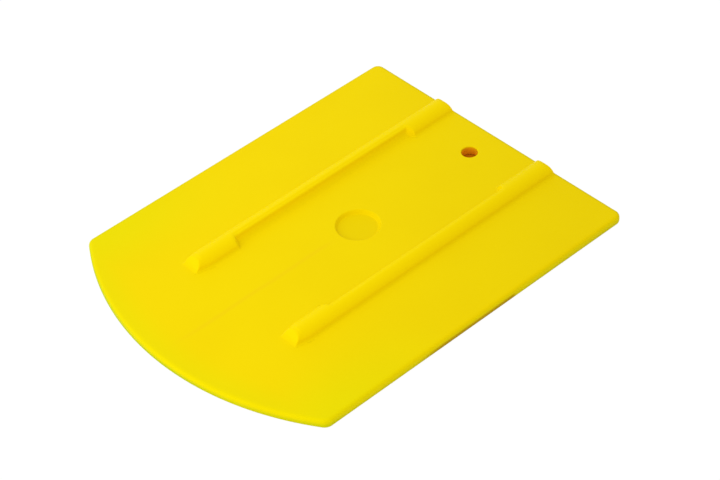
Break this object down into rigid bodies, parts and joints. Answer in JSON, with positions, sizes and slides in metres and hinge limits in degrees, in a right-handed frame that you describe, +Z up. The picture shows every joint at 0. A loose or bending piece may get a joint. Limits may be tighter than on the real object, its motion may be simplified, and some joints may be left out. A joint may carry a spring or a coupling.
{
  "type": "squeegee applicator",
  "caption": "Flat rounded plastic squeegee with an arched working edge, long grip ribs, a thumb dimple and a hang hole, for pressing vinyl film onto a surface.",
  "frame": {"origin": "middle of the underside, on the centre line and halfway between the straight edge and the crown of the arched edge", "axes": "+X to the right rib, +Y to the straight rear edge with the hang hole, +Z up from the underside to the ribs"},
  "size_m": [0.1, 0.127, 0.0057],
  "materials": {
    "blade_plastic": "satin moulded yellow",
    "rib_plastic": "satin moulded yellow"
  },
  "bodies": {
    "root": {"blade": "blade_plastic", "left_rib": "rib_plastic", "right_rib": "rib_plastic"}
  },
  "joints": []
}
